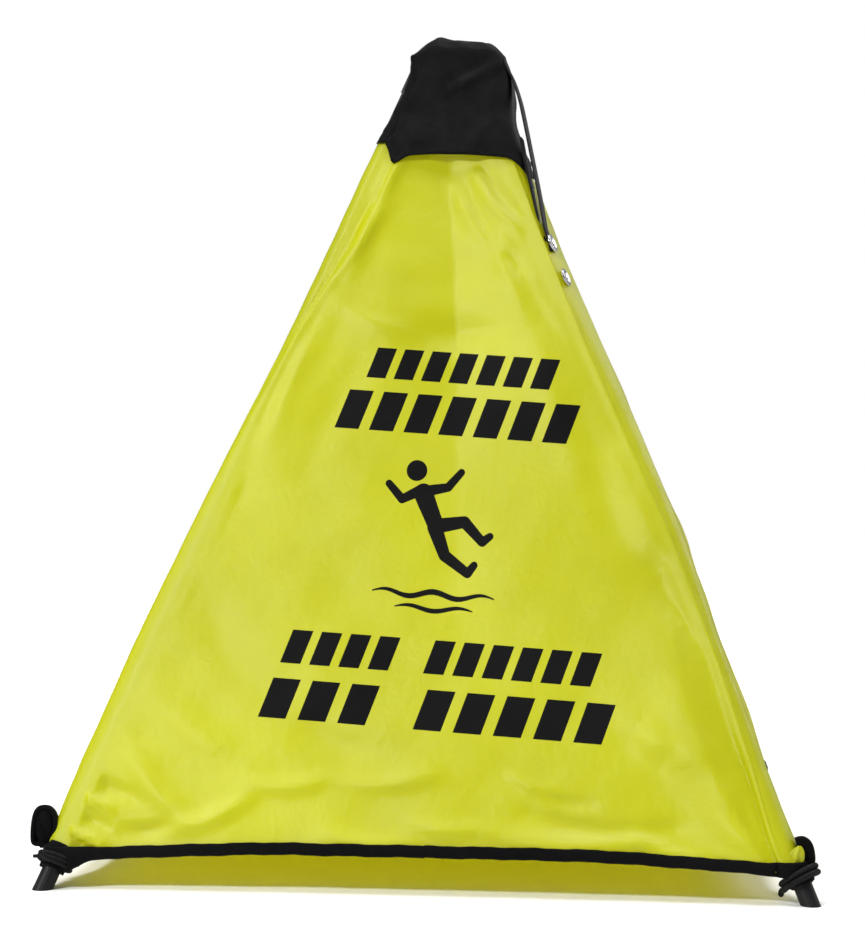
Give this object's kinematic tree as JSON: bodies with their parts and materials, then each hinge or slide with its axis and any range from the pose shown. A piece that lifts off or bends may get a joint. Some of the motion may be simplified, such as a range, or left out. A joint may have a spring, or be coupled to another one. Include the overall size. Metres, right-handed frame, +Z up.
{
  "type": "pop-up safety cone",
  "caption": "Four-sided folding fabric floor cone with sprung legs, a black cap, hem tape and a press-snap storage strap.",
  "frame": {"origin": "on the floor under the middle of the cone, at the bottom centre of its box", "axes": "+Z up, front panel faces -Y, the strap and the snaps are on +X"},
  "size_m": [0.4466, 0.4466, 0.508],
  "materials": {
    "cover_fabric": "satin coated nylon",
    "cap_fabric": "soft woven nylon",
    "hem_tape": "ribbed binding tape",
    "tie_cord": "twisted cord",
    "strap_webbing": "woven webbing",
    "tip_plastic": "matte",
    "leg_coat": "smooth coated glass-fibre tube",
    "hub_plastic": "moulded",
    "steel": "plain",
    "snap_metal": "polished plate"
  },
  "bodies": {
    "cover_and_hub": {"hub_body": "hub_plastic", "hub_cover": "hub_plastic", "hub_screw": "steel", "pivot_pin_front_right": "steel", "pivot_pin_back_right": "steel", "pivot_pin_back_left": "steel", "pivot_pin_front_left": "steel", "leg_spring_front_right": "steel", "leg_spring_back_right": "steel", "leg_spring_back_left": "steel", "leg_spring_front_left": "steel", "panel_front": "cover_fabric", "panel_right": "cover_fabric", "panel_back": "cover_fabric", "panel_left": "cover_fabric", "hem_front": "hem_tape", "hem_right": "hem_tape", "hem_back": "hem_tape", "hem_left": "hem_tape", "cap_front": "cap_fabric", "cap_right": "cap_fabric", "cap_back": "cap_fabric", "cap_left": "cap_fabric", "cap_top": "cap_fabric", "strap_outer": "strap_webbing", "strap_inner": "strap_webbing"},
    "leg_front_right": {"leg_fitting_front_right": "hub_plastic", "leg_tube_front_right": "leg_coat", "foot_tip_front_right": "tip_plastic", "leg_sleeve_front_right": "cover_fabric", "corner_tie_front_right": "tie_cord", "corner_ear_front_right": "hem_tape", "snap_stud_upper": "snap_metal", "snap_stud_lower": "snap_metal", "snap_socket_strap": "snap_metal"},
    "leg_back_right": {"leg_fitting_back_right": "hub_plastic", "leg_tube_back_right": "leg_coat", "foot_tip_back_right": "tip_plastic", "leg_sleeve_back_right": "cover_fabric", "corner_tie_back_right": "tie_cord", "corner_ear_back_right": "hem_tape"},
    "leg_back_left": {"leg_fitting_back_left": "hub_plastic", "leg_tube_back_left": "leg_coat", "foot_tip_back_left": "tip_plastic", "leg_sleeve_back_left": "cover_fabric", "corner_tie_back_left": "tie_cord", "corner_ear_back_left": "hem_tape"},
    "leg_front_left": {"leg_fitting_front_left": "hub_plastic", "leg_tube_front_left": "leg_coat", "foot_tip_front_left": "tip_plastic", "leg_sleeve_front_left": "cover_fabric", "corner_tie_front_left": "tie_cord", "corner_ear_front_left": "hem_tape"}
  },
  "joints": [
    {"name": "leg_fold_front_right", "type": "hinge", "parent": "cover_and_hub", "child": "leg_front_right", "pos_m": [0.0194, -0.0194, 0.49], "axis": [0.7071, 0.7071, 0], "range_deg": [0, 28], "stiffness_Nm_per_rad": 0.35, "springref_deg": -28.65},
    {"name": "leg_fold_back_right", "type": "hinge", "parent": "cover_and_hub", "child": "leg_back_right", "pos_m": [0.0194, 0.0194, 0.49], "axis": [-0.7071, 0.7071, 0], "range_deg": [0, 28], "stiffness_Nm_per_rad": 0.35, "springref_deg": -28.65},
    {"name": "leg_fold_back_left", "type": "hinge", "parent": "cover_and_hub", "child": "leg_back_left", "pos_m": [-0.0194, 0.0194, 0.49], "axis": [-0.7071, -0.7071, 0], "range_deg": [0, 28], "stiffness_Nm_per_rad": 0.35, "springref_deg": -28.65},
    {"name": "leg_fold_front_left", "type": "hinge", "parent": "cover_and_hub", "child": "leg_front_left", "pos_m": [-0.0194, -0.0194, 0.49], "axis": [0.7071, -0.7071, 0], "range_deg": [0, 28], "stiffness_Nm_per_rad": 0.35, "springref_deg": -28.65}
  ]
}
